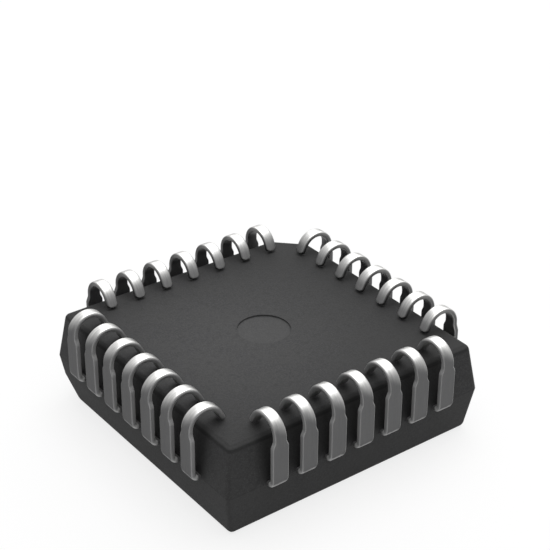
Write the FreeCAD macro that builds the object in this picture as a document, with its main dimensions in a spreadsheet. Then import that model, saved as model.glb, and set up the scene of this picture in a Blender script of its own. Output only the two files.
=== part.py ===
"""Logic chip in a 28-lead plastic chip carrier, lying on its marked face with its J-leads up.

Millimetres. The origin is the centre of the marked face, +Z points from there to the seating plane
of the leads, and the bevelled pin 1 side faces +Y with the cut corner beside it at +X.
Pins count on from the centre of the bevelled side, clockwise as seen from +Z.
"""
import FreeCAD, Part
import math
import os
import re
import Sketcher
from FreeCAD import Placement, Rotation, Vector

doc = FreeCAD.newDocument("LogicChip")

# Driving sizes: name, value, what it measures
SIZES = [
    ("lead_pitch", 1.27, "spacing of the leads along a side"),
    ("corner_room", 1.95, "middle of a side's last lead to the wall round the corner, at the parting plane"),
    ("marked_height", 1.78, "marked face to parting plane"),
    ("under_height", 1.88, "parting plane to underside"),
    ("marked_draw", 0.27, "how far a wall leans in from the parting plane to the marked face"),
    ("under_draw", 0.27, "how far a wall leans in from the parting plane to the underside"),
    ("corner_cut", 1.10, "cut corner beside pin 1, along each wall"),
    ("corner_round", 0.20, "the three other upright corners"),
    ("marked_round", 0.20, "edges of the marked face"),
    ("under_round", 0.20, "edges of the underside"),
    ("bevel_rise", 0.88, "height of the pin 1 bevel above the marked face"),
    ("bevel_run", 0.70, "how far the bevel reaches in over the marked face"),
    ("dimple_width", 0.94, "pin 1 dimple in the bevel, diameter"),
    ("dimple_depth", 0.14, "pin 1 dimple, depth square to the bevel"),
    ("ejector_width", 2.05, "mark of the ejector pin in the underside, diameter"),
    ("ejector_depth", 0.06, "mark of the ejector pin, depth"),
    ("lead_standoff", 0.40, "wall at the parting plane to the outer face of a lead"),
    ("foot_lift", 0.08, "underside to the centre of the J bend"),
    ("sheet_thickness", 0.20, "lead frame sheet"),
    ("shank_width", 0.67, "wide part of a lead"),
    ("foot_width", 0.48, "narrow part of a lead"),
    ("shoulder_wide_drop", 0.34, "centre of the J bend down to where the shank begins to narrow"),
    ("shoulder_narrow_drop", 0.12, "centre of the J bend down to where the narrow part begins"),
    ("shoulder_round", 0.20, "turns of the shoulders"),
    ("heel_radius", 0.38, "outer radius of the bend beside the body"),
    ("foot_radius", 0.76, "outer radius of the J bend"),
    ("foot_turn", 152.0, "angle of the J bend"),
    ("foot_tail", 0.36, "straight end beyond the J bend"),
    ("tip_round", 0.12, "corners of the lead's end"),
    ("edge_round", 0.06, "stamped edges of a lead"),
    ("root_depth", 0.86, "wall at the parting plane in to the end of a lead's straight root"),
    ("finger_gap", 0.42, "edge of the paddle to the tips of the fingers"),
    ("finger_pitch", 0.62, "spacing of the finger tips"),
    ("finger_width", 0.34, "width of a finger's tip"),
    ("paddle_width", 4.40, "die paddle, each way"),
    ("tie_width", 0.30, "tie bars from the paddle to the corners"),
    ("tie_cover", 0.35, "epoxy left over the ends of the tie bars, along each wall"),
    ("attach_margin", 0.10, "edge of the die adhesive beyond the die"),
    ("attach_thickness", 0.05, "layer of die adhesive"),
    ("die_width", 3.00, "silicon die, each way"),
    ("die_thickness", 0.38, "silicon die"),
    ("pad_inset", 0.15, "edge of the die to its row of pads"),
    ("pad_pitch", 0.38, "spacing of the pads on the die"),
    ("wire_width", 0.038, "bond wire, diameter"),
    ("wire_bend", 0.10, "radius of a bond wire's two bends"),
    ("wire_neck", 0.06, "straight stretch of a wire at each end"),
    ("wire_landing", 0.18, "tip of a finger to where its wire lands"),
    ("ball_width", 0.09, "ball of a bond wire, diameter"),
    ("ball_height", 0.03, "ball of a bond wire"),
    ("stitch_width", 0.07, "flattened end of a bond wire, diameter"),
    ("stitch_height", 0.02, "flattened end of a bond wire"),
]
LEADS_PER_SIDE = 7
SIDES = 4
LEADS = SIDES * LEADS_PER_SIDE

sheet = doc.addObject("Spreadsheet::Sheet", "Sizes")
for row, (name, size, meaning) in enumerate(SIZES, 1):
    sheet.set(f"A{row}", name)
    sheet.set(f"B{row}", str(size))
    sheet.set(f"C{row}", meaning)
    sheet.setAlias(f"B{row}", name)
doc.recompute()

# Heights and reaches that several pieces share, as formulas of the driving sizes
HALF_BODY = f"({LEADS_PER_SIDE // 2} * lead_pitch + corner_room)"
UNDERSIDE = "(marked_height + under_height)"
SHEET_LOW = "(marked_height - sheet_thickness / 2)"
SHEET_HIGH = "(marked_height + sheet_thickness / 2)"
ATTACH_LOW = f"({SHEET_LOW} - attach_thickness)"
DIE_LOW = f"({ATTACH_LOW} - die_thickness)"
LEAD_FACE = f"({HALF_BODY} + lead_standoff)"
LEAD_BACK = f"({LEAD_FACE} - sheet_thickness)"
HEEL_REACH = f"({LEAD_FACE} - heel_radius)"
HEEL_TOP = f"({SHEET_LOW} + heel_radius)"
FOOT_REACH = f"({LEAD_FACE} - foot_radius)"
FOOT_CENTRE = f"({UNDERSIDE} + foot_lift)"
INNER_FOOT = "(foot_radius - sheet_thickness)"
SHOULDER_WIDE = f"({FOOT_CENTRE} - shoulder_wide_drop)"
SHOULDER_NARROW = f"({FOOT_CENTRE} - shoulder_narrow_drop)"
ROOT_REACH = f"({HALF_BODY} - root_depth)"
FINGER_REACH = "(paddle_width / 2 + finger_gap)"
PAD_REACH = "(die_width / 2 - pad_inset)"

NAMES = {name for name, size, meaning in SIZES}
NEAR = 1e-4  # how close two places are that count as one, in mm


def formula(text):
    """The text with each driving size named as the sheet's cell."""
    return re.sub(r"[a-z_]+", lambda word: f"Sizes.{word[0]}" if word[0] in NAMES else word[0], text)


def number(text):
    """What a formula comes to, in mm or degrees."""
    return float(sheet.evalExpression(formula(text)))


def bind(thing, **formulas):
    """Ties properties of an object to formulas of the driving sizes."""
    for name, text in formulas.items():
        thing.setExpression(name.replace("__", "."), formula(text))


def new_body(name):
    body = doc.addObject("PartDesign::Body", name)
    body.Label = name
    return body


def new_sketch(body, name, plane, lift=None):
    """A sketch on one of the body's own origin planes, lifted along that plane's normal."""
    sketch = body.newObject("Sketcher::SketchObject", name)
    face = next(item for item in body.Origin.OriginFeatures if item.Role == plane)
    sketch.AttachmentSupport = (face, [""])
    sketch.MapMode = "FlatFace"
    if lift:
        bind(sketch, AttachmentOffset__Base__z=lift)
    return sketch


def hold_point(sketch, edge, end, across, up):
    """Ties one end of an edge to a place given by two formulas."""
    for axis, kind, text in ((-2, "DistanceX", across), (-1, "DistanceY", up)):
        size = number(text)
        if abs(size) < NEAR:
            sketch.addConstraint(Sketcher.Constraint("PointOnObject", edge, end, axis))
        else:
            held = sketch.addConstraint(Sketcher.Constraint(kind, -1, 1, edge, end, size))
            sketch.setExpression(f"Constraints[{held}]", formula(text))


def hold_radius(sketch, edge, radius):
    held = sketch.addConstraint(Sketcher.Constraint("Radius", edge, number(radius)))
    sketch.setExpression(f"Constraints[{held}]", formula(radius))


def arc_between(start, end, centre, radius, leftward):
    """A round stretch from start to end about a centre, turning left or right on the way."""
    first, last = (start, end) if leftward else (end, start)
    angles = [math.atan2(point[1] - centre[1], point[0] - centre[0]) for point in (first, last)]
    return Part.ArcOfCircle(Part.Circle(Vector(*centre, 0), Vector(0, 0, 1), radius), *angles)


def draw_outline(sketch, corners, rounds, closed=True):
    """Edges through corners; rounds gives centre, radius and turn of the stretch that starts at a corner."""
    places = [(number(across), number(up)) for across, up in corners]
    count = len(corners) if closed else len(corners) - 1
    ends = []
    for start in range(count):
        end = (start + 1) % len(corners)
        if start in rounds:
            across, up, radius, leftward = rounds[start]
            centre = (number(across), number(up))
            edge = sketch.addGeometry(
                arc_between(places[start], places[end], centre, number(radius), leftward), False
            )
            ends.append((1, 2) if leftward else (2, 1))
        else:
            edge = sketch.addGeometry(
                Part.LineSegment(Vector(*places[start], 0), Vector(*places[end], 0)), False
            )
            ends.append((1, 2))
    for edge in range(count if closed else count - 1):
        following = (edge + 1) % count
        joint = Sketcher.Constraint("Coincident", edge, ends[edge][1], following, ends[following][0])
        sketch.addConstraint(joint)
    for edge in range(count):
        hold_point(sketch, edge, ends[edge][0], *corners[edge])
    if not closed:
        hold_point(sketch, count - 1, ends[count - 1][1], *corners[count])
    for start, (across, up, radius, leftward) in rounds.items():
        hold_radius(sketch, start, radius)


def draw_circle(sketch, radius):
    """A circle about the sketch's own origin."""
    sketch.addGeometry(Part.Circle(Vector(0, 0, 0), Vector(0, 0, 1), number(radius)), False)
    sketch.addConstraint(Sketcher.Constraint("Coincident", 0, 3, -1, 1))
    hold_radius(sketch, 0, radius)


def edges_where(feature, wanted):
    """Names of the feature's edges for which wanted(first end, last end) holds."""
    names = []
    for place, edge in enumerate(feature.Shape.Edges, 1):
        ends = [vertex.Point for vertex in edge.Vertexes]
        if wanted(ends[0], ends[-1]):
            names.append(f"Edge{place}")
    return names


def fillet(body, name, base, radius, wanted):
    """Rounds the chosen edges of the body's last feature."""
    doc.recompute()
    rounding = body.newObject("PartDesign::Fillet", name)
    rounding.Base = (base, edges_where(base, wanted))
    bind(rounding, Radius=radius)
    return rounding


# Moulded body

BEVEL_WALL = f"({HALF_BODY} - marked_draw * (1 - bevel_rise / marked_height))"
BEVEL_INNER = f"({HALF_BODY} - marked_draw - bevel_run)"


def body_section(body, name, lift, draw):
    """The body's outline at one height: a square with three round corners and one cut corner."""
    wall = f"({HALF_BODY} - {draw})"
    inner = f"({wall} - corner_round)"
    cut = f"({wall} - corner_cut)"
    corners = [
        (f"-{inner}", f"-{wall}"), (inner, f"-{wall}"),
        (wall, f"-{inner}"), (wall, cut),
        (cut, wall), (f"-{inner}", wall),
        (f"-{wall}", inner), (f"-{wall}", f"-{inner}"),
    ]
    rounds = {
        1: (inner, f"-{inner}", "corner_round", True),
        5: (f"-{inner}", inner, "corner_round", True),
        7: (f"-{inner}", f"-{inner}", "corner_round", True),
    }
    sketch = new_sketch(body, name, "XY_Plane", lift)
    draw_outline(sketch, corners, rounds)
    return sketch


def body_half(body, name, wide, narrow):
    """One half of the body, drawn from the parting plane in to one of the faces."""
    half = body.newObject("PartDesign::AdditiveLoft", name)
    half.Profile = wide
    half.Sections = [narrow]
    half.Ruled = True


def cut_bevel(body):
    """The bevel along the pin 1 side, over the lower part of the marked half."""
    outside = f"({BEVEL_WALL} + bevel_run)"
    corners = [
        (BEVEL_INNER, "0"), (BEVEL_INNER, "-bevel_rise"),
        (outside, "-bevel_rise"), (outside, "bevel_rise"), (BEVEL_WALL, "bevel_rise"),
    ]
    sketch = new_sketch(body, "bevel_side", "YZ_Plane")
    draw_outline(sketch, corners, {})
    bevel = body.newObject("PartDesign::Pocket", "bevel")
    bevel.Profile = sketch
    bevel.SideType = "Symmetric"
    bind(bevel, Length=f"4 * {HALF_BODY}")
    return bevel


def cut_disc(body, name, width, depth, reach, height, tilt):
    """A shallow round recess; tilt turns its axis from +Z about X, towards the outside."""
    disc = body.newObject("PartDesign::SubtractiveCylinder", name)
    disc.Placement = Placement(Vector(), Rotation(Vector(1, 0, 0), 1))
    bind(
        disc, Radius=f"{width} / 2", Height=f"2 * {depth}",
        Placement__Base__y=f"{reach} + {depth} * sin({tilt})",
        Placement__Base__z=f"{height} - {depth} * cos({tilt})",
        Placement__Rotation__Angle=tilt,
    )


def make_mould_shape():
    """The epoxy block as the mould shapes it, before room is made for what it holds."""
    body = new_body("mould_shape")
    parting = body_section(body, "parting_outline", "marked_height", "0")
    marked = body_section(body, "marked_outline", None, "marked_draw")
    under = body_section(body, "under_outline", UNDERSIDE, "under_draw")
    body_half(body, "marked_half", parting, marked)
    body_half(body, "under_half", parting, under)
    bevel = cut_bevel(body)
    top = number(UNDERSIDE)
    under_edges = fillet(
        body, "under_edges", bevel, "under_round",
        lambda one, other: abs(one.z - top) < NEAR and abs(other.z - top) < NEAR,
    )
    fillet(
        body, "marked_edges", under_edges, "marked_round",
        lambda one, other: abs(one.z) < NEAR and abs(other.z) < NEAR,
    )
    cut_disc(body, "ejector_mark", "ejector_width", "ejector_depth", "0", UNDERSIDE, "0")
    cut_disc(
        body, "dimple", "dimple_width", "dimple_depth",
        f"(({BEVEL_WALL} + {BEVEL_INNER}) / 2)", "(bevel_rise / 2)",
        f"(180 deg + atan(bevel_rise / ({BEVEL_WALL} - {BEVEL_INNER})))",
    )
    return body


# Lead frame

def side_of(pin):
    """The side that a pin is on, counted clockwise from the bevelled one, and its place along it."""
    along = pin - 1 + LEADS_PER_SIDE // 2
    return along // LEADS_PER_SIDE % SIDES, along % LEADS_PER_SIDE - LEADS_PER_SIDE // 2


def turn_to_side(side):
    return Placement(Vector(), Rotation(Vector(0, 0, 1), -side * 360 / SIDES))


def foot_point(radius, tail):
    """A place at the end of the J bend, at a radius from its centre and a tail beyond."""
    across = f"({FOOT_REACH} + ({radius}) * cos(foot_turn) - {tail} * sin(foot_turn))"
    return across, f"({FOOT_CENTRE} + ({radius}) * sin(foot_turn) + {tail} * cos(foot_turn))"


def lead_side(body):
    """The bent sheet seen from its edge: root, heel, shank, J bend and tail."""
    corners = [
        (ROOT_REACH, SHEET_LOW), (HEEL_REACH, SHEET_LOW),
        (LEAD_FACE, HEEL_TOP), (LEAD_FACE, FOOT_CENTRE),
        foot_point("foot_radius", "0"), foot_point("foot_radius", "foot_tail"),
        foot_point(INNER_FOOT, "foot_tail"), foot_point(INNER_FOOT, "0"),
        (LEAD_BACK, FOOT_CENTRE), (LEAD_BACK, HEEL_TOP),
        (HEEL_REACH, SHEET_HIGH), (ROOT_REACH, SHEET_HIGH),
    ]
    rounds = {
        1: (HEEL_REACH, HEEL_TOP, "heel_radius", True),
        3: (FOOT_REACH, FOOT_CENTRE, "foot_radius", True),
        7: (FOOT_REACH, FOOT_CENTRE, INNER_FOOT, False),
        9: (HEEL_REACH, HEEL_TOP, "(heel_radius - sheet_thickness)", False),
    }
    sketch = new_sketch(body, "side", "YZ_Plane")
    draw_outline(sketch, corners, rounds)
    strip = body.newObject("PartDesign::Pad", "strip")
    strip.Profile = sketch
    strip.SideType = "Symmetric"
    bind(strip, Length="shank_width")
    return strip


def narrow_foot(body, sign):
    """Takes the strip down to the foot's width on one side, above the shoulder."""
    edge, outside = f"({sign} * foot_width / 2)", f"({sign} * shank_width)"
    over = f"({FOOT_CENTRE} + 2 * foot_radius)"
    corners = [
        (f"({sign} * shank_width / 2)", SHOULDER_WIDE), (edge, SHOULDER_NARROW),
        (edge, over), (outside, over), (outside, SHOULDER_WIDE),
    ]
    sketch = new_sketch(body, "shoulder_line", "XZ_Plane")
    draw_outline(sketch, corners, {})
    cut = body.newObject("PartDesign::Pocket", "shoulder")
    cut.Profile = sketch
    cut.SideType = "Symmetric"
    bind(cut, Length=f"4 * {LEAD_FACE}")
    return cut


def is_corner_of_sheet(one, other, place):
    """True where an edge crosses the sheet's thickness between the two given places."""
    across = [(point.y, point.z) for point in (one, other)]
    ends = [(number(y), number(z)) for y, z in place]
    same = all(math.dist(mine, its) < NEAR for mine, its in zip(across, ends))
    swapped = all(math.dist(mine, its) < NEAR for mine, its in zip(across, reversed(ends)))
    return abs(one.x - other.x) < NEAR and (same or swapped)


def round_lead(body, base):
    """Rounds the shoulders, the corners of the end and then all the stamped edges."""
    shoulders = [
        ((LEAD_FACE, height), (LEAD_BACK, height)) for height in (SHOULDER_WIDE, SHOULDER_NARROW)
    ]
    end = (foot_point("foot_radius", "foot_tail"), foot_point(INNER_FOOT, "foot_tail"))
    turned = fillet(
        body, "shoulder_turns", base, "shoulder_round",
        lambda one, other: any(is_corner_of_sheet(one, other, place) for place in shoulders),
    )
    tipped = fillet(
        body, "tip_corners", turned, "tip_round", lambda one, other: is_corner_of_sheet(one, other, end),
    )
    low, high = number(HEEL_TOP), number(FOOT_CENTRE)
    half = number("shank_width / 2")

    def is_edge_of_shank(one, other):
        beside = max(abs(one.x - half), abs(other.x - half), abs(one.y - other.y)) < NEAR
        return beside and min(one.z, other.z) > low - NEAR and max(one.z, other.z) < high

    fillet(body, "stamped_edges", tipped, "edge_round", is_edge_of_shank)


def add_plate(body, name, corners):
    """A flat piece of the sheet with the given outline."""
    sketch = new_sketch(body, f"{name}_outline", "XY_Plane", SHEET_LOW)
    draw_outline(sketch, corners, {})
    plate = body.newObject("PartDesign::Pad", name)
    plate.Profile = sketch
    bind(plate, Length="sheet_thickness")


def add_finger(body, place):
    """The flat finger inside the body, from the root in to its own place beside the die."""
    shift = f"({place} * (finger_pitch - lead_pitch))"
    corners = [
        ("-shank_width / 2", ROOT_REACH), (f"{shift} - finger_width / 2", FINGER_REACH),
        (f"{shift} + finger_width / 2", FINGER_REACH), ("shank_width / 2", ROOT_REACH),
    ]
    add_plate(body, "finger", corners)


def make_lead(pin):
    side, place = side_of(pin)
    body = new_body(f"lead_{pin:02d}")
    lead_side(body)
    narrow_foot(body, 1)
    narrowed = narrow_foot(body, -1)
    round_lead(body, narrowed)
    add_finger(body, place)
    seat = Placement(Vector(place * number("lead_pitch"), 0, 0), Rotation())
    body.Placement = turn_to_side(side).multiply(seat)
    return body


def make_paddle():
    """The square that the die sits on, with a tie bar out to each corner."""
    body = new_body("die_paddle")
    half = "(paddle_width / 2)"
    corners = [(f"-{half}", f"-{half}"), (half, f"-{half}"), (half, half), (f"-{half}", half)]
    add_plate(body, "square", corners)
    end = f"({HALF_BODY} - corner_cut / 2 - tie_cover)"
    wide = "(tie_width / 2 / sqrt(2))"
    for name, sign in (("first_ties", 1), ("second_ties", -1)):
        add_plate(body, name, [
            (f"({end} + {wide})", f"({sign} * ({end} - {wide}))"),
            (f"({end} - {wide})", f"({sign} * ({end} + {wide}))"),
            (f"-({end} + {wide})", f"(-{sign} * ({end} - {wide}))"),
            (f"-({end} - {wide})", f"(-{sign} * ({end} + {wide}))"),
        ])
    return body


def make_block(name, width, thickness, low):
    """A square block centred on the chip."""
    block = doc.addObject("Part::Box", name)
    block.Label = name
    bind(
        block, Length=width, Width=width, Height=thickness,
        Placement__Base__x=f"-{width} / 2", Placement__Base__y=f"-{width} / 2", Placement__Base__z=low,
    )
    return block


# Bond wires

def add_disc(body, name, width, height, reach, low):
    disc = body.newObject("PartDesign::AdditiveCylinder", name)
    bind(
        disc, Radius=f"{width} / 2", Height=height,
        Placement__Base__x=reach, Placement__Base__z=low,
    )


def make_wire(pin):
    """A bond wire from its pad on the die to its finger, looped towards the marked face."""
    side, place = side_of(pin)
    along = f"({place} * (finger_pitch - pad_pitch))"
    out = f"({FINGER_REACH} + wire_landing - {PAD_REACH})"
    span = f"sqrt({along} ^ 2 + {out} ^ 2)"
    first = f"({DIE_LOW} - ball_height - wire_neck)"
    last = f"({SHEET_LOW} - stitch_height - wire_neck)"
    slope = f"atan(({last} - {first}) / ({span} - 2 * wire_bend))"
    corners = [
        ("0", DIE_LOW), ("0", first),
        (f"wire_bend * (1 + sin({slope}))", f"{first} - wire_bend * cos({slope})"),
        (f"{span} - wire_bend * (1 - sin({slope}))", f"{last} - wire_bend * cos({slope})"),
        (span, last), (span, SHEET_LOW),
    ]
    rounds = {
        1: ("wire_bend", first, "wire_bend", True),
        3: (f"{span} - wire_bend", last, "wire_bend", True),
    }
    body = new_body(f"wire_{pin:02d}")
    path = new_sketch(body, "loop", "XZ_Plane")
    draw_outline(path, corners, rounds, closed=False)
    section = new_sketch(body, "section", "XY_Plane", DIE_LOW)
    draw_circle(section, "wire_width / 2")
    run = body.newObject("PartDesign::AdditivePipe", "run")
    run.Profile = section
    run.Spine = (path, [])
    add_disc(body, "ball", "ball_width", "ball_height", "0", f"{DIE_LOW} - ball_height")
    add_disc(body, "stitch", "stitch_width", "stitch_height", span, f"{SHEET_LOW} - stitch_height")
    pad = Vector(place * number("pad_pitch"), number(PAD_REACH), 0)
    heading = math.degrees(math.atan2(number(out), number(along)))
    body.Placement = turn_to_side(side).multiply(Placement(pad, Rotation(Vector(0, 0, 1), heading)))
    return body


# The whole chip

leads = [make_lead(pin) for pin in range(1, LEADS + 1)]
wires = [make_wire(pin) for pin in range(1, LEADS + 1)]
paddle = make_paddle()
attach = make_block("die_attach", "(die_width + 2 * attach_margin)", "attach_thickness", ATTACH_LOW)
die = make_block("silicon_die", "die_width", "die_thickness", DIE_LOW)
mould_shape = make_mould_shape()
held = doc.addObject("Part::Compound", "held_pieces")
held.Links = [*leads, *wires, paddle, attach, die]
moulded_body = doc.addObject("Part::Cut", "moulded_body")
moulded_body.Label = "moulded_body"
moulded_body.Base = mould_shape
moulded_body.Tool = held
doc.recompute()

pieces = [moulded_body, *leads, *wires, paddle, attach, die]
for item in doc.Objects:
    if "Invalid" in item.State or "Error" in item.State:
        raise RuntimeError(f"{item.Name} could not be made: {item.State}")
for piece in pieces:
    if piece.Shape.isNull() or not piece.Shape.isValid() or len(piece.Shape.Solids) != 1:
        raise RuntimeError(f"{piece.Label} is not one valid solid")
os.makedirs("parts", exist_ok=True)
for piece in pieces:
    piece.Shape.exportStep(f"parts/{piece.Label}.step")
print(len(pieces), "pieces written")
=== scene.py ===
"""Looks of the logic chip: its moulded body and J-leads, and the paddle, die and wires inside.

The chip lies on its marked face with the leads up. Sizes are millimetres, and metres in the meshes.
"""
import math

import bmesh
import bpy
from mathutils import Matrix, Vector


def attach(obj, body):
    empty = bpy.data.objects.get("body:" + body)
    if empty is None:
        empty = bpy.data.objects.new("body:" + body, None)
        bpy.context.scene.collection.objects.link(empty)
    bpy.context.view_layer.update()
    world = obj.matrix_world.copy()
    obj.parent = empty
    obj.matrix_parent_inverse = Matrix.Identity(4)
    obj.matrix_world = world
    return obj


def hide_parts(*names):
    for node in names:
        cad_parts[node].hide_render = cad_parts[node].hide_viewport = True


MM = 0.001
NEARLY = 1e-4

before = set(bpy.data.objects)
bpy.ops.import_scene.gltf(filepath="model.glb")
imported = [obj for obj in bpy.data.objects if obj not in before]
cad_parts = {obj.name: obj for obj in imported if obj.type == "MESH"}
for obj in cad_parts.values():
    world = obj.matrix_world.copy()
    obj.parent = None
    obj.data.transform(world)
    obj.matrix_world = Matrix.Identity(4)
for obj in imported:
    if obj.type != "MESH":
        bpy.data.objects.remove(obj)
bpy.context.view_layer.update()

# Moulded body
BODY_HALF = 5.76
PARTING = 1.78
UNDERSIDE = 3.66
MARKED_DRAW = 0.27
UNDER_DRAW = 0.27
CORNER_CUT = 1.10
CORNER_ROUND = 0.20
CUT_ROUND = 0.05
UNDER_ROUND = 0.20
MARKED_ROUND = 0.20
ROUND_STEPS = 6
BEVEL_RISE = 0.88
BEVEL_RUN = 0.70
DIMPLE_WIDTH = 0.94
DIMPLE_DEPTH = 0.14
EJECTOR_WIDTH = 2.05
EJECTOR_DEPTH = 0.06
RECESS_DRAW = 0.012
RECESS_SEGMENTS = 128
SMOOTH_BODY = math.radians(24)

# Heights of the painted shade and highlight at the body's rim, of its parting seam, and of the
# painted shade on the underside: where each begins, is full, fades and ends
RIM_SHADE_LINE = tuple(UNDERSIDE - drop for drop in (0.26, 0.15, 0.12, 0.06))
RIM_HIGHLIGHT = tuple(UNDERSIDE - drop for drop in (0.12, 0.08, 0.05, 0.01))
SEAM_LINE = (PARTING - 0.03, PARTING, PARTING, PARTING + 0.06)
# Painted shade that darkens the underside outwards from a painted pool of light: its heights, how
# far out it is darkest, and the pool's centre
DARKENING = (UNDERSIDE - 0.22, UNDERSIDE - 0.05)
DARKEST_AT = 7.5
PAINTED_LIGHT_SPOT = (-1.8, 0.0, 0.0)

# Leads
LEADS_PER_SIDE = 7
SIDES = 4
PITCH = 1.27
LAST_LEAD = PITCH * (LEADS_PER_SIDE // 2)
LEAD_FACE = 6.16
SHEET = 0.20
SHANK_WIDTH = 0.67
FOOT_WIDTH = 0.48
STRAIGHT_TOP = 3.30
SHOULDER_WIDE = 3.40
SHOULDER_NARROW = 3.62
SHOULDER_SOFT = 0.04
HEEL_RADIUS = 0.38
FOOT_RADIUS = 0.76
FOOT_CENTRE = 3.74
FOOT_TURN = math.radians(152.0)
FOOT_TAIL = 0.36
TIP_ROUND = 0.12
SHANK_EDGE = 0.05
FOOT_EDGE = 0.09
HEEL_SOFT = 0.12
SHEET_MIDDLE = SHEET / 2
BEND_MIDDLE = FOOT_RADIUS - SHEET_MIDDLE
TIP_REACH = BEND_MIDDLE * FOOT_TURN + FOOT_TAIL
HEEL_CENTRE = PARTING - SHEET_MIDDLE + HEEL_RADIUS
HEEL_START = HEEL_CENTRE - FOOT_CENTRE
ROOT_REACH = 4.90
FINGER_REACH = 2.62
FINGER_PITCH = 0.62
FINGER_WIDTH = 0.34
SMOOTH_LEAD = math.radians(50)
PIN_SHIFT = 3.7

# Studio
FLOOR_HALF = 0.6
FLOOR_TONE = (0.55, 0.55, 0.55)
FLOOR_GLOW = 0.80
SKY_LEVEL = 0.30
LAMP_AIM = (0.0, 0.0, 0.002)
SOFTBOXES = (
    ("overhead", (0.01, 0.00, 0.16), 0.16, 0.17),
    ("behind", (0.11, 0.10, 0.16), 0.24, 0.22),
)
LENS = 99.74
SENSOR = 36.0
CAMERA_PLACE = (-29.096, -39.412, 33.943)
CAMERA_RIGHT = (0.800572, -0.599229, 0.003155)
CAMERA_DOWN = (-0.294742, -0.39835, -0.868588)
CAMERA_AHEAD = (0.521739, 0.694437, -0.495526)


# Node maths

class Flow:
    """A socket in a node tree, with arithmetic that adds Math nodes."""

    def __init__(self, tree, socket):
        self.tree = tree
        self.socket = socket

    def math(self, operation, *values, **settings):
        return self.tree.node(
            "ShaderNodeMath", {"operation": operation, **settings}, dict(enumerate(values))
        )

    def __add__(self, other):
        return self.math("ADD", self, other)

    def __sub__(self, other):
        return self.math("SUBTRACT", self, other)

    def __rsub__(self, other):
        return self.math("SUBTRACT", other, self)

    def __mul__(self, other):
        return self.math("MULTIPLY", self, other)

    __radd__ = __add__
    __rmul__ = __mul__

    def size(self):
        return self.math("ABSOLUTE", self)

    def least(self, other):
        return self.math("MINIMUM", self, other)

    def most(self, other):
        return self.math("MAXIMUM", self, other)

    def held(self):
        """The value kept between 0 and 1."""
        return self.math("ADD", self, 0.0, use_clamp=True)

    def ramp(self, low, high, start=0.0, end=1.0):
        """Goes smoothly from start, at low, to end, at high."""
        return self.tree.node(
            "ShaderNodeMapRange", {"interpolation_type": "SMOOTHSTEP"},
            {"Value": self, "From Min": low, "From Max": high, "To Min": start, "To Max": end},
            "Result",
        )

    def band(self, low, full, fading, high):
        """Rises from 0 to 1 between low and full, and falls back between fading and high."""
        return self.ramp(low, full) * self.ramp(fading, high, 1.0, 0.0)


class Tree:
    """A node tree and the means to add nodes to it."""

    def __init__(self, node_tree):
        self.node_tree = node_tree

    def node(self, kind, settings=None, inputs=None, output=0):
        """Adds a node: first its settings, then the values or links of its sockets."""
        made = self.node_tree.nodes.new(kind)
        for name, setting in (settings or {}).items():
            setattr(made, name, setting)
        for name, given in (inputs or {}).items():
            self.feed(made.inputs[name], given)
        return Flow(self, made.outputs[output])

    def feed(self, socket, given):
        if isinstance(given, Flow):
            self.node_tree.links.new(given.socket, socket)
        elif isinstance(given, tuple) and socket.type == "RGBA":
            socket.default_value = (*given, 1.0)
        else:
            socket.default_value = given


class Paint(Tree):
    """A material with its Principled shader."""

    def __init__(self, name, **constants):
        self.material = bpy.data.materials.new(name)
        self.material.use_nodes = True
        super().__init__(self.material.node_tree)
        self.shader = self.node_tree.nodes["Principled BSDF"]
        for socket, setting in constants.items():
            self.shader.inputs[socket.replace("_", " ")].default_value = setting

    def place(self):
        """Where a point is in the row frame, in millimetres."""
        spot = self.node("ShaderNodeTexCoord", output="Object")
        return self.node(
            "ShaderNodeVectorMath", {"operation": "SCALE"}, {0: spot, "Scale": 1 / MM}, "Vector"
        )

    def fact(self, name, output="Fac"):
        """A value or vector that the mesh carries for each point."""
        return self.node("ShaderNodeAttribute", {"attribute_name": name}, output=output)

    def axis(self, vector, letter):
        return self.node("ShaderNodeSeparateXYZ", inputs={"Vector": vector}, output=letter)

    def stretched(self, vector, scale):
        return self.node(
            "ShaderNodeVectorMath", {"operation": "MULTIPLY"}, {0: vector, 1: scale}, "Vector"
        )

    def distance(self, vector, point):
        return self.node(
            "ShaderNodeVectorMath", {"operation": "DISTANCE"}, {0: vector, 1: point}, "Value"
        )

    def noise(self, vector, scale, detail=2.0, roughness=0.5):
        return self.node(
            "ShaderNodeTexNoise", {},
            {"Vector": vector, "Scale": scale, "Detail": detail, "Roughness": roughness}, "Fac",
        )

    def blend(self, share, first, second):
        """A colour between two others."""
        return self.node(
            "ShaderNodeMix", {"data_type": "RGBA"}, {"Factor": share, 6: first, 7: second}, 2
        )

    def bump(self, height, strength, distance):
        bumped = self.node(
            "ShaderNodeBump", {},
            {"Height": height, "Strength": strength, "Distance": distance * MM}, "Normal",
        )
        self.feed(self.shader.inputs["Normal"], bumped)

    def finish(self, colour, roughness):
        self.feed(self.shader.inputs["Base Color"], colour)
        self.feed(self.shader.inputs["Roughness"], roughness)
        return self.material


# Materials

def grey(level):
    return (level, level, level)


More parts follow.
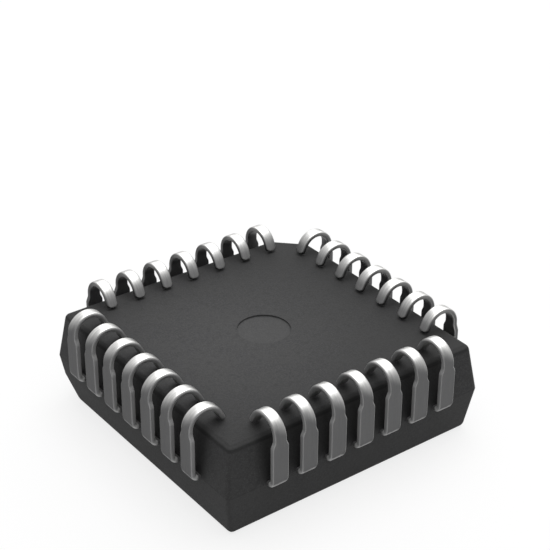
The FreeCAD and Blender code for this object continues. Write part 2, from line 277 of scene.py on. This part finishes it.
def painted_shade_and_seam(paint, place):
    """How much darker the skin is: painted shade along the upright corners, under the rim and on
    the walls among the leads, and the dark parting seam.
    """
    x, y, z = (paint.axis(place, letter) for letter in "XYZ")
    far_x, far_y = x.size(), y.size()
    above = BODY_HALF - (z - PARTING) * (UNDER_DRAW / (UNDERSIDE - PARTING))
    below = z * (MARKED_DRAW / PARTING) + (BODY_HALF - MARKED_DRAW)
    # Painted shade: a thin dark line down each rounded upright corner
    corner = (above.least(below) * 2 - far_x - far_y).ramp(0.115, 0.14, 1.0, 0.0)
    on_wall = far_x.most(far_y).ramp(BODY_HALF - 0.5, BODY_HALF - 0.3)
    # Painted shade: a dark line just under the underside's rim; the seam is the parting line
    rim, seam = z.band(*RIM_SHADE_LINE), z.band(*SEAM_LINE)
    # Painted shade on the walls among the leads, above the parting line
    among_leads = far_x.least(far_y).ramp(LAST_LEAD + 0.2, LAST_LEAD + 0.8, 1.0, 0.0)
    painted_lead_shade = among_leads * z.ramp(PARTING, PARTING + 0.3)
    return (corner * 0.08 + on_wall * (rim * 0.55 + seam * 0.2 + painted_lead_shade * 0.6)).held()


def epoxy_paint():
    """Matt moulding compound with mould grain and filler specks, and painted light and shade: a
    painted pool of light on the underside that darkens to the rim, the half below the parting line
    painted lighter as if lit from the floor, a painted highlight along the rim, and painted shade
    at the corners, under the rim and among the leads.
    """
    paint = Paint("moulded_epoxy", IOR=1.45, Specular_IOR_Level=0.3)
    place = paint.place()
    z = paint.axis(place, "Z")
    grain = paint.noise(place, 14.0, 4.0, 0.65)
    pores = paint.noise(place, 5.0, 3.0, 0.7)
    fine = paint.noise(place, 45.0, 2.0, 0.6)
    cloud = paint.noise(place, 0.6, 3.0, 0.5)
    specks = paint.noise(place, 26.0, 1.0, 0.4).ramp(0.62, 0.72)
    shade = paint.blend(cloud.ramp(0.35, 0.65), (0.038, 0.038, 0.039), grey(0.046))
    shade = paint.blend(grain.ramp(0.42, 0.6) * 0.75, shade, (0.062, 0.062, 0.063))
    shade = paint.blend(pores.ramp(0.50, 0.70) * 0.45, shade, (0.026, 0.026, 0.027))
    shade = paint.blend(specks * 0.4, shade, grey(0.11))
    # Painted light: the half below the parting line is painted lighter, as if lit from the floor
    lit_lower_half = z.ramp(PARTING - 0.02, PARTING, 1.0, 0.0)
    shade = paint.blend(lit_lower_half * 0.3, shade, grey(0.070))
    # A painted pool of light off the middle of the underside, with painted shade towards its rim
    from_painted_light = paint.distance(paint.stretched(place, (1.0, 1.0, 0.0)), PAINTED_LIGHT_SPOT)
    painted_shade_outwards = from_painted_light.ramp(0.0, DARKEST_AT) * z.ramp(*DARKENING)
    shade = paint.blend(painted_shade_outwards * 0.65, shade, grey(0.014))
    # Painted highlight: a thin lighter line along the underside's rounded rim
    shade = paint.blend(z.band(*RIM_HIGHLIGHT) * 0.2, shade, grey(0.10))
    # Painted shade at the corners, under the rim and among the leads, and the dark parting seam
    shade = paint.blend(painted_shade_and_seam(paint, place), shade, grey(0.010))
    paint.bump(grain * 0.6 + fine * 0.2 + pores * 0.4, 0.4, 0.02)
    return paint.finish(shade, (grain * 0.12 + cloud * 0.08) + 0.68)


def tin_paint():
    """Satin tin on a stamped lead, drawn lengthwise, with painted light and shade: a painted
    highlight over the J bend, on the heel and along one shank edge, painted shade on the shank, the
    root and the cut sides in the bend, and painted light on the heel and on the cut sides of the
    rows of sides 2 and 3.
    """
    paint = Paint("tinned_leads", Specular_Tint=(0.55, 0.55, 0.55, 1.0))
    sheet = paint.fact("along_the_sheet", "Vector")
    cut_side, inner_side = paint.fact("cut_side"), paint.fact("inner_side")
    painted_lit_row = paint.fact("painted_lit_row")
    across, along = paint.axis(sheet, "X"), paint.axis(sheet, "Y")
    streaks = paint.noise(paint.stretched(sheet, (16.0, 1.3, 1.0)), 1.0, 3.0, 0.6)
    mottle = paint.noise(sheet, 6.0, 3.0, 0.6)
    pits = paint.noise(sheet, 28.0, 2.0, 0.5)

    # Places along the lead
    along_jittered = along + (mottle - 0.5) * 0.12
    # The bend's painted highlight, slanted across the lead and fading before the tip
    bend = (along_jittered + across * 0.5).ramp(0.10, 0.98) * along_jittered.ramp(0.95, TIP_REACH - 0.15, 1.0, 0.08)
    shank = along_jittered.ramp(0.3, 0.9, 1.0, 0.0)
    heel = along_jittered.ramp(HEEL_START - 0.06, HEEL_START - 0.24)
    root = along_jittered.ramp(HEEL_START - 0.24, HEEL_START - 0.38)

    # Places across it
    sheared = cut_side.ramp(0.35, 0.9)
    # A painted highlight along one rounded edge of the shank
    painted_edge_highlight = cut_side.band(0.1, 0.5, 0.9, 1.0) * across.ramp(0.0, 0.1) * shank
    # Painted light: the heel, and the cut sides on the rows of sides 2 and 3, are painted lighter
    # and less metallic
    painted_lit_heel_and_sides = (heel + sheared * painted_lit_row).held()
    shaded_side = sheared * along_jittered.ramp(0.0, 0.5) * (1 - painted_lit_row * 0.65)

    # Painted shade: the shank's tin is painted dull and dark
    shaded_shank_tone = paint.blend(streaks, (0.106, 0.106, 0.108), grey(0.136))
    painted_lit_tone = paint.blend(streaks, grey(0.31), grey(0.40))
    # Painted highlight tone for the J bend
    lit_bend_tone = paint.blend(streaks.ramp(0.3, 0.7), (0.60, 0.60, 0.59), (0.80, 0.795, 0.78))
    shade = paint.blend(painted_lit_heel_and_sides, shaded_shank_tone, painted_lit_tone)
    shade = paint.blend(shaded_side * 0.9, shade, grey(0.08))
    shade = paint.blend(bend * (1 - sheared * 0.85), shade, lit_bend_tone)
    # Painted highlight on the shank edge and the heel
    shade = paint.blend((painted_edge_highlight * 0.5 + heel * 0.6) * (1 - bend), shade, (0.80, 0.80, 0.79))
    # Painted shade: the root, where it runs into the body, is painted dark
    shade = paint.blend(root * 0.95, shade, grey(0.07))
    matt = (painted_lit_heel_and_sides * 0.85 + inner_side * 0.6).held() * (1 - bend * 0.6)
    paint.bump(streaks * 0.6 + pits * 0.4, 0.25, 0.01)
    paint.feed(paint.shader.inputs["Metallic"], 1 - matt)
    return paint.finish(shade, 0.44 - bend * 0.08 + (mottle - 0.5) * 0.12)


def copper_paint():
    """Bare rolled copper alloy of the paddle and its tie bars."""
    paint = Paint("bare_lead_frame", Metallic=1.0)
    place = paint.place()
    rolled = paint.noise(paint.stretched(place, (2.0, 24.0, 2.0)), 1.0, 3.0, 0.6)
    stain = paint.noise(place, 0.9, 3.0, 0.55)
    shade = paint.blend(rolled, (0.60, 0.33, 0.22), (0.74, 0.44, 0.31))
    shade = paint.blend(stain.ramp(0.5, 0.75) * 0.4, shade, (0.42, 0.22, 0.15))
    paint.bump(rolled, 0.2, 0.008)
    return paint.finish(shade, rolled * 0.15 + 0.3)


def adhesive_paint():
    """Silver-filled epoxy under the die."""
    paint = Paint("die_adhesive", Metallic=0.35)
    flakes = paint.noise(paint.place(), 22.0, 2.0, 0.6)
    shade = paint.blend(flakes, (0.42, 0.42, 0.43), grey(0.66))
    paint.bump(flakes, 0.4, 0.02)
    return paint.finish(shade, flakes * 0.25 + 0.4)


def silicon_paint():
    """A polished die with plain blocks of cells and the tracks between them."""
    paint = Paint("silicon", Metallic=0.55, Coat_Weight=0.5, Coat_Roughness=0.08)
    place = paint.place()
    blocks = paint.node(
        "ShaderNodeTexVoronoi", {"distance": "CHEBYCHEV"},
        {"Vector": place, "Scale": 2.2, "Randomness": 0.6}, "Color",
    )
    cells = paint.node(
        "ShaderNodeTexBrick", {"offset": 0.0},
        {
            "Vector": place, "Scale": 9.0, "Mortar Size": 0.06, "Mortar": (0.05, 0.06, 0.08),
            "Color1": (0.11, 0.13, 0.19), "Color2": (0.20, 0.19, 0.24),
        },
        "Color",
    )
    shade = paint.blend(paint.axis(blocks, "X") * 0.6, cells, (0.24, 0.20, 0.17))
    return paint.finish(shade, paint.noise(place, 12.0) * 0.1 + 0.18)


def gold_paint():
    """Bond wire."""
    paint = Paint("gold_wire", Metallic=1.0)
    drawn = paint.noise(paint.place(), 30.0, 2.0, 0.5)
    shade = paint.blend(drawn, (0.86, 0.58, 0.20), (0.98, 0.74, 0.34))
    return paint.finish(shade, drawn * 0.12 + 0.2)


# Meshes

def add_object(name, data):
    thing = bpy.data.objects.new(name, data)
    bpy.context.scene.collection.objects.link(thing)
    return thing


def mesh_from(name, shape):
    """Turns a finished bmesh into a mesh."""
    mesh = bpy.data.meshes.new(name)
    shape.to_mesh(mesh)
    shape.free()
    return mesh


def add_piece(name, mesh, material, node):
    """Puts a finished mesh in the scene in place of the CAD node that it stands for."""
    mesh.materials.clear()
    mesh.materials.append(material)
    piece = add_object(name, mesh)
    evened = piece.modifiers.new("evened", "WEIGHTED_NORMAL")
    evened.keep_sharp = True
    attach(piece, "root")
    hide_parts(node)


def smooth(mesh, sharpest):
    """Smooth shading, apart from edges that turn by more than an angle."""
    mesh.polygons.foreach_set("use_smooth", [True] * len(mesh.polygons))
    mesh.set_sharp_from_angle(angle=sharpest)


def outline(half):
    """Corners of the body's square at one height, with one corner cut."""
    cut = half - CORNER_CUT
    return [(-half, -half), (half, -half), (half, cut), (cut, half), (-half, half)]


def round_edges(mesh):
    """Weights for the widths of the rounded edges: upright corners, underside and marked face."""
    weights = mesh.attributes.new("bevel_weight_edge", "FLOAT", "EDGE")
    for edge in mesh.edges:
        one, other = (mesh.vertices[i].co for i in edge.vertices)
        beside_cut = min(one.x, other.x) > 0 and min(one.y, other.y) > 0
        leaning = max(MARKED_DRAW, UNDER_DRAW) + NEARLY
        if abs(one.z - other.z) > NEARLY:
            upright = abs(one.x - other.x) < leaning and not beside_cut
            weights.data[edge.index].value = CORNER_ROUND if upright else CUT_ROUND
        elif abs(one.z - UNDERSIDE) < NEARLY:
            weights.data[edge.index].value = UNDER_ROUND
        elif abs(one.z) < NEARLY:
            weights.data[edge.index].value = MARKED_ROUND


def applied(piece):
    """The mesh that an object has with its modifiers, which then leaves the scene."""
    bpy.context.view_layer.update()
    graph = bpy.context.evaluated_depsgraph_get()
    mesh = bpy.data.meshes.new_from_object(piece.evaluated_get(graph))
    bpy.data.objects.remove(piece)
    return mesh


def disc(width, depth, centre, tilt):
    """A cutter for a shallow round recess with drafted walls; tilt turns it about X."""
    shape = bmesh.new()
    bmesh.ops.create_cone(
        shape, cap_ends=True, segments=RECESS_SEGMENTS, depth=2 * depth,
        radius1=width / 2 - RECESS_DRAW, radius2=width / 2 + RECESS_DRAW,
    )
    shape.transform(Matrix.Translation(centre) @ Matrix.Rotation(tilt, 4, "X"))
    return add_object("cutter", mesh_from("cutter", shape))


def moulded_body(material):
    """The epoxy block with its draft, bevel, rounded edges, ejector mark and dimple."""
    shape = bmesh.new()
    for height, draw in ((0.0, MARKED_DRAW), (PARTING, 0.0), (UNDERSIDE, UNDER_DRAW)):
        for x, y in outline(BODY_HALF - draw):
            shape.verts.new((x, y, height))
    bmesh.ops.convex_hull(shape, input=shape.verts)

    # The bevel runs from the wall to a line on the marked face
    wall = BODY_HALF - MARKED_DRAW * (1 - BEVEL_RISE / PARTING)
    inner = BODY_HALF - MARKED_DRAW - BEVEL_RUN
    slope = Vector((0, wall - inner, BEVEL_RISE)).normalized()
    outward = Vector((0, slope.z, -slope.y))
    cut = bmesh.ops.bisect_plane(
        shape, geom=shape.verts[:] + shape.edges[:] + shape.faces[:],
        plane_co=(0, inner, 0), plane_no=outward, clear_outer=True,
    )
    rim = [part for part in cut["geom_cut"] if isinstance(part, bmesh.types.BMEdge)]
    bmesh.ops.contextual_create(shape, geom=rim)
    bmesh.ops.dissolve_limit(
        shape, angle_limit=math.radians(1), verts=shape.verts[:], edges=shape.edges[:]
    )
    bmesh.ops.recalc_face_normals(shape, faces=shape.faces[:])
    mesh = mesh_from("moulded_body", shape)
    round_edges(mesh)

    block = add_object("block", mesh)
    rounding = block.modifiers.new("rounding", "BEVEL")
    rounding.limit_method = "WEIGHT"
    rounding.width = 1.0
    rounding.segments = ROUND_STEPS
    tilt = math.atan2(outward.z, outward.y) - math.pi / 2
    bevel_middle = Vector((0, (wall + inner) / 2, BEVEL_RISE / 2))
    cutters = [
        disc(EJECTOR_WIDTH, EJECTOR_DEPTH, Vector((0, 0, UNDERSIDE)), 0.0),
        disc(DIMPLE_WIDTH, DIMPLE_DEPTH, bevel_middle, tilt),
    ]
    for cutter in cutters:
        recess = block.modifiers.new("recess", "BOOLEAN")
        recess.operation = "DIFFERENCE"
        recess.object = cutter
    finished = applied(block)
    for cutter in cutters:
        bpy.data.objects.remove(cutter)
    finished.transform(Matrix.Scale(MM, 4))
    smooth(finished, SMOOTH_BODY)
    add_piece("epoxy_block", finished, material, "moulded_body")


def steps(count, first=1):
    """Even steps up to 1, as shares of the way."""
    return [step / count for step in range(first, count + 1)]


def width_at(z):
    """Width of a lead at a height, from its wide shank to its narrow foot."""
    low, high = SHOULDER_WIDE - SHOULDER_SOFT, SHOULDER_NARROW + SHOULDER_SOFT
    share = min(1.0, max(0.0, (z - low) / (high - low)))
    share = share * share * (3 - 2 * share)
    return SHANK_WIDTH + (FOOT_WIDTH - SHANK_WIDTH) * share


def lead_stations(place):
    """Stations along a lead from its finger's tip to its end: centre, direction, width, way along.

    The way along counts from the start of the J bend.
    """
    stations = []
    way = 0.0

    def add(x, y, z, angle, width):
        nonlocal way
        if stations:
            way += math.dist((x, y, z), stations[-1][:3])
        stations.append((x, y, z, angle, width, way))

    # Finger and root, inside the body
    shift = place * (FINGER_PITCH - PITCH)
    for share in steps(8, 0):
        reach = FINGER_REACH + (ROOT_REACH - FINGER_REACH) * share
        width = FINGER_WIDTH + (SHANK_WIDTH - FINGER_WIDTH) * share
        add(shift * (1 - share), reach, PARTING, 0.0, width)

    # Heel
    heel_y = LEAD_FACE - HEEL_RADIUS
    heel_middle = HEEL_RADIUS - SHEET_MIDDLE
    add(0.0, (ROOT_REACH + heel_y) / 2, PARTING, 0.0, SHANK_WIDTH)
    for share in steps(12, 0):
        angle = math.pi / 2 * share
        y, z = heel_y + heel_middle * math.sin(angle), HEEL_CENTRE - heel_middle * math.cos(angle)
        add(0.0, y, z, angle, SHANK_WIDTH)

    # Shank and shoulder
    straight = [HEEL_CENTRE + (STRAIGHT_TOP - HEEL_CENTRE) * share for share in steps(8)]
    shoulder = [STRAIGHT_TOP + (FOOT_CENTRE - STRAIGHT_TOP) * share for share in steps(16)]
    for z in straight + shoulder:
        add(0.0, LEAD_FACE - SHEET_MIDDLE, z, math.pi / 2, width_at(z))
    bend_start = way

    # J bend
    foot_y = LEAD_FACE - FOOT_RADIUS
    for share in steps(36):
        angle = FOOT_TURN * share
        y, z = foot_y + BEND_MIDDLE * math.cos(angle), FOOT_CENTRE + BEND_MIDDLE * math.sin(angle)
        add(0.0, y, z, math.pi / 2 + angle, FOOT_WIDTH)

    # Straight end with its rounded tip
    end_y, end_z = y, z
    straight = [(FOOT_TAIL - TIP_ROUND) * share for share in steps(4)]
    tip = [FOOT_TAIL - TIP_ROUND * (1 - math.sin(math.pi / 2 * share)) for share in steps(10)]
    for run in straight + tip:
        into_tip = max(0.0, run - FOOT_TAIL + TIP_ROUND)
        inset = TIP_ROUND - math.sqrt(TIP_ROUND ** 2 - into_tip ** 2)
        add(
            0.0, end_y - run * math.sin(FOOT_TURN), end_z + run * math.cos(FOOT_TURN),
            math.pi / 2 + FOOT_TURN, FOOT_WIDTH - 2 * inset,
        )
    return [(*station[:5], station[5] - bend_start) for station in stations]


def sheet_ring():
    """Points round the sheet's section: which corner, and the direction within its rounding."""
    ring = []
    for corner, (sign_x, sign_n) in enumerate(((1, 1), (-1, 1), (-1, -1), (1, -1))):
        for share in steps(5, 0):
            angle = math.pi / 2 * (corner + share)
            ring.append((sign_x, sign_n, math.cos(angle), math.sin(angle)))
    return ring


def lead_mesh(name, pin, side, place):
    """A lead swept through its stations as a rounded strip of sheet."""
    ring = sheet_ring()
    stations = lead_stations(place)
    turn = Matrix.Rotation(-side * 2 * math.pi / SIDES, 4, "Z")
    # On side 2 the sheet's across direction is flipped, which moves the painted edge highlight to
    # the other edge and the slant of the bend's painted highlight
    highlight_side_sign = -1 if side == 2 else 1
    points, sheet, cut_side, inner_side = [], [], [], []
    for x, y, z, angle, width, length in stations:
        in_bend, in_heel = length / BEND_MIDDLE, (HEEL_START + HEEL_SOFT - length) / HEEL_RADIUS
        soft = SHANK_EDGE + (FOOT_EDGE - SHANK_EDGE) * min(1.0, max(0.0, in_bend, in_heel))
        normal = Vector((0, math.sin(angle), -math.cos(angle)))
        for sign_x, sign_n, c, s in ring:
            dx = sign_x * (width / 2 - soft) + soft * c
            dn = sign_n * (SHEET_MIDDLE - soft) + soft * s
            spot = Vector((x + place * PITCH + dx, y, z)) + normal * dn
            points.append((turn @ spot) * MM)
            sheet += (dx * highlight_side_sign, length, pin * PIN_SHIFT)
            cut_side.append(abs(c))
            inner_side.append(max(0.0, -s))
    count = len(ring)
    faces = []
    for start in range(0, len(points) - count, count):
        for column in range(count):
            a, b = start + column, start + (column + 1) % count
            faces.append((a, b, b + count, a + count))
    faces.append(tuple(reversed(range(count))))
    faces.append(tuple(range(len(points) - count, len(points))))
    mesh = bpy.data.meshes.new(name)
    mesh.from_pydata(points, [], faces)
    along_the_sheet = mesh.attributes.new("along_the_sheet", "FLOAT_VECTOR", "POINT")
    along_the_sheet.data.foreach_set("vector", sheet)
    # 1 on the rows of sides 2 and 3, whose cut sides get painted light
    painted_lit_row = [float(side >= SIDES // 2)] * len(points)
    facts = {"cut_side": cut_side, "inner_side": inner_side, "painted_lit_row": painted_lit_row}
    for fact, values in facts.items():
        mesh.attributes.new(fact, "FLOAT", "POINT").data.foreach_set("value", values)
    mesh.validate()
    shape = bmesh.new()
    shape.from_mesh(mesh)
    bmesh.ops.recalc_face_normals(shape, faces=shape.faces[:])
    shape.to_mesh(mesh)
    shape.free()
    smooth(mesh, SMOOTH_LEAD)
    return mesh


def side_of(pin):
    """The side that a pin is on and its place along it, counted from the bevelled side."""
    along = pin - 1 + LEADS_PER_SIDE // 2
    return along // LEADS_PER_SIDE % SIDES, along % LEADS_PER_SIDE - LEADS_PER_SIDE // 2


def dress(node, material):
    """Gives a CAD node its finish."""
    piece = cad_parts[node]
    piece.data.materials.clear()
    piece.data.materials.append(material)


moulded_body(epoxy_paint())
tin, gold = tin_paint(), gold_paint()
for pin in range(1, SIDES * LEADS_PER_SIDE + 1):
    name = f"j_lead_{pin:02d}"
    add_piece(name, lead_mesh(name, pin, *side_of(pin)), tin, f"lead_{pin:02d}")
    dress(f"wire_{pin:02d}", gold)
dress("die_paddle", copper_paint())
dress("die_attach", adhesive_paint())
dress("silicon_die", silicon_paint())


# Floor, light and camera

def is_seen(tree):
    """1 for rays of the camera and of what mirrors or shows the background, otherwise 0."""
    kinds = ("Is Camera Ray", "Is Glossy Ray", "Is Transmission Ray")
    rays = [tree.node("ShaderNodeLightPath", output=kind) for kind in kinds]
    return (rays[0] + rays[1] + rays[2]).held()


def pale_floor():
    """A plain floor that glows to the camera and to what mirrors it, and keeps the shadow."""
    paint = Paint("pale_floor", Roughness=1.0, Specular_IOR_Level=0.0, Emission_Strength=1.0)
    seen = is_seen(paint)
    tone = paint.blend(seen, FLOOR_TONE, grey(1 - FLOOR_GLOW))
    glow = paint.blend(seen, grey(0.0), grey(FLOOR_GLOW))
    paint.feed(paint.shader.inputs["Base Color"], tone)
    paint.feed(paint.shader.inputs["Emission Color"], glow)
    shape = bmesh.new()
    bmesh.ops.create_grid(shape, x_segments=2, y_segments=2, size=FLOOR_HALF)
    mesh = mesh_from("floor", shape)
    mesh.materials.append(paint.material)
    floor = add_object("floor", mesh)
    floor.location.z = -0.02 * MM


def pale_sky():
    """A world that is white to the camera and to what mirrors it, and dimmer as a light."""
    world = bpy.data.worlds.new("studio")
    world.use_nodes = True
    bpy.context.scene.world = world
    sky = Tree(world.node_tree)
    background = sky.node_tree.nodes["Background"]
    background.inputs["Color"].default_value = (1.0, 1.0, 1.0, 1.0)
    sky.feed(background.inputs["Strength"], is_seen(sky) * (1 - SKY_LEVEL) + SKY_LEVEL)


def softbox(name, place, size, power):
    """A square lamp that points at the chip."""
    data = bpy.data.lights.new(name, "AREA")
    data.size = size
    data.energy = power
    lamp = add_object(name, data)
    lamp.location = place
    lamp.rotation_mode = "QUATERNION"
    lamp.rotation_quaternion = (Vector(LAMP_AIM) - Vector(place)).to_track_quat("-Z", "Y")


def photo_camera():
    """The camera where the photograph was taken from."""
    data = bpy.data.cameras.new("photo_view")
    data.lens = LENS
    data.sensor_width = SENSOR
    data.clip_start, data.clip_end = 0.005, 5.0
    camera = add_object("photo_view", data)
    axes = Matrix((CAMERA_RIGHT, -Vector(CAMERA_DOWN), -Vector(CAMERA_AHEAD))).transposed()
    camera.rotation_mode = "QUATERNION"
    camera.rotation_quaternion = axes.to_quaternion()
    camera.location = Vector(CAMERA_PLACE) * MM
    bpy.context.scene.camera = camera


pale_floor()
pale_sky()
for lamp in SOFTBOXES:
    softbox(*lamp)
photo_camera()
bpy.context.scene.view_settings.view_transform = "Standard"
